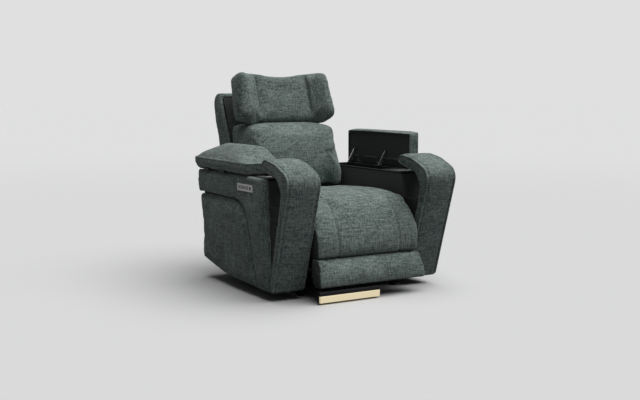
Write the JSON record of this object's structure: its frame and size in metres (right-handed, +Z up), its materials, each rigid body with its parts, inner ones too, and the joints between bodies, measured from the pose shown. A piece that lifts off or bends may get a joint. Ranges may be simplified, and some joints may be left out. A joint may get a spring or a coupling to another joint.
{
  "type": "power recliner",
  "caption": "Upholstered power recliner with storage arms under hinged lids, hooked front pads, swinging leg rest, reclining back and winged headrest.",
  "frame": {"origin": "on the floor, on the centre plane between the arms, midway between the foremost and rearmost points", "axes": "+X to the right seen from the front, +Y to the back, +Z up"},
  "size_m": [1.0738, 1.1397, 1.0651],
  "materials": {
    "upholstery": "mottled dark green-grey chenille",
    "dark_cloth": "matt near-black lining",
    "frame_wood": "plywood, dark cloth faced",
    "dark_board": "board with dark facing",
    "dark_trim": "black, satin",
    "cup_metal": "brushed",
    "zinc": "bright zinc",
    "plate_metal": "satin",
    "button_metal": "satin",
    "black_steel": "black paint",
    "motor_case": "moulded case",
    "foot_plastic": "black",
    "webbing": "woven strap",
    "glow": "lit diffuser"
  },
  "bodies": {
    "base": {"base_frame": "black_steel", "feet": "foot_plastic", "mechanism_plates": "black_steel", "seat_frame": "frame_wood", "seat_webbing": "webbing", "seat_cushion": "upholstery", "leg_brackets": "black_steel", "back_pins": "zinc", "lid_hinges": "black_steel", "control_plate": "plate_metal", "socket_insert": "dark_trim", "light_housing": "dark_trim", "light_diffuser": "glow", "power_inlet": "foot_plastic", "leg_motor": "motor_case", "recline_motor": "motor_case", "left_arm_band": "upholstery", "right_arm_band": "upholstery", "left_side_panel": "upholstery", "right_side_panel": "upholstery", "left_arm_frame": "frame_wood", "right_arm_frame": "frame_wood", "left_arm_trim": "dark_trim", "right_arm_trim": "dark_trim", "left_front_pad": "upholstery", "right_front_pad": "upholstery", "left_arm_infill": "dark_cloth", "right_arm_infill": "dark_cloth", "left_storage_liner": "dark_trim", "right_storage_liner": "dark_trim", "left_cup_holder": "cup_metal", "right_cup_holder": "cup_metal"},
    "back": {"back_shell": "upholstery", "back_lining": "dark_cloth", "back_frame": "black_steel", "back_cushion": "upholstery", "head_bracket": "black_steel"},
    "headrest": {"head_cushion": "upholstery", "head_board": "dark_board", "head_arms": "black_steel"},
    "leg_rest": {"calf_pad": "upholstery", "foot_pad": "upholstery", "leg_board": "dark_board", "leg_arms": "black_steel"},
    "crank": {"drive_tube": "black_steel"},
    "push_links": {"push_links": "black_steel"},
    "leg_ram": {"leg_ram": "zinc"},
    "recline_ram": {"recline_ram": "zinc"},
    "left_lid": {"left_lid_pad": "upholstery", "left_lid_board": "dark_board", "left_lid_fittings": "zinc"},
    "left_stays": {"left_lid_stays": "zinc"},
    "right_lid": {"right_lid_pad": "upholstery", "right_lid_board": "dark_board", "right_lid_fittings": "zinc"},
    "right_stays": {"right_lid_stays": "zinc"},
    "button_1": {"button_1": "button_metal"},
    "button_2": {"button_2": "button_metal"},
    "button_3": {"button_3": "button_metal"},
    "button_4": {"button_4": "button_metal"}
  },
  "joints": [
    {"name": "recline", "type": "hinge", "parent": "base", "child": "back", "pos_m": [0, 0.264, 0.35], "axis": [-1, 0, 0], "range_deg": [0, 42]},
    {"name": "head_tilt", "type": "hinge", "parent": "back", "child": "headrest", "pos_m": [0, 0.42, 0.8], "axis": [-1, 0, 0], "range_deg": [0, 16]},
    {"name": "leg_lift", "type": "hinge", "parent": "base", "child": "leg_rest", "pos_m": [0, -0.381, 0.412], "axis": [-1, 0, 0], "range_deg": [0, 60]},
    {"name": "crank_turn", "type": "hinge", "parent": "base", "child": "crank", "pos_m": [0, -0.204, 0.217], "axis": [-1, 0, 0], "range_deg": [0, 79.1]},
    {"name": "link_turn", "type": "hinge", "parent": "crank", "child": "push_links", "pos_m": [0, -0.1485, 0.12087], "axis": [-1, 0, 0], "range_deg": [-66.35, 0]},
    {"name": "leg_ram_slide", "type": "slide", "parent": "base", "child": "leg_ram", "axis": [0, -1, 0], "range_m": [0, 0.0959]},
    {"name": "recline_ram_slide", "type": "slide", "parent": "base", "child": "recline_ram", "axis": [0, -1, 0], "range_m": [0, 0.0937]},
    {"name": "left_lid_open", "type": "hinge", "parent": "base", "child": "left_lid", "pos_m": [-0.465, 0, 0.562], "axis": [0, -1, 0], "range_deg": [0, 90]},
    {"name": "right_lid_close", "type": "hinge", "parent": "base", "child": "right_lid", "pos_m": [0.465, 0, 0.562], "axis": [0, 1, 0], "range_deg": [-90, 0]},
    {"name": "left_stay_turn", "type": "hinge", "parent": "left_lid", "child": "left_stays", "pos_m": [-0.397, 0.028, 0.552], "axis": [0, -1, 0], "range_deg": [-60.1, 0]},
    {"name": "right_stay_turn", "type": "hinge", "parent": "right_lid", "child": "right_stays", "pos_m": [0.455, 0.028, 0.63], "axis": [0, 1, 0], "range_deg": [0, 60.1]},
    {"name": "button_1_press", "type": "slide", "parent": "base", "child": "button_1", "axis": [1, 0, 0], "range_m": [0, 0.001], "stiffness_N_per_m": 900, "springref_m": -0.0005},
    {"name": "button_2_press", "type": "slide", "parent": "base", "child": "button_2", "axis": [1, 0, 0], "range_m": [0, 0.001], "stiffness_N_per_m": 900, "springref_m": -0.0005},
    {"name": "button_3_press", "type": "slide", "parent": "base", "child": "button_3", "axis": [1, 0, 0], "range_m": [0, 0.001], "stiffness_N_per_m": 900, "springref_m": -0.0005},
    {"name": "button_4_press", "type": "slide", "parent": "base", "child": "button_4", "axis": [1, 0, 0], "range_m": [0, 0.001], "stiffness_N_per_m": 900, "springref_m": -0.0005}
  ],
  "couplings": [
    {"joint": "crank_turn", "follows": "leg_lift", "ratio": 1.3167},
    {"joint": "link_turn", "follows": "leg_lift", "ratio": -1.1042},
    {"joint": "leg_ram_slide", "follows": "leg_lift", "m_per_rad": 0.091111},
    {"joint": "recline_ram_slide", "follows": "recline", "m_per_rad": 0.12711},
    {"joint": "left_stay_turn", "follows": "left_lid_open", "ratio": -0.66667},
    {"joint": "right_stay_turn", "follows": "right_lid_close", "ratio": -0.66667}
  ]
}
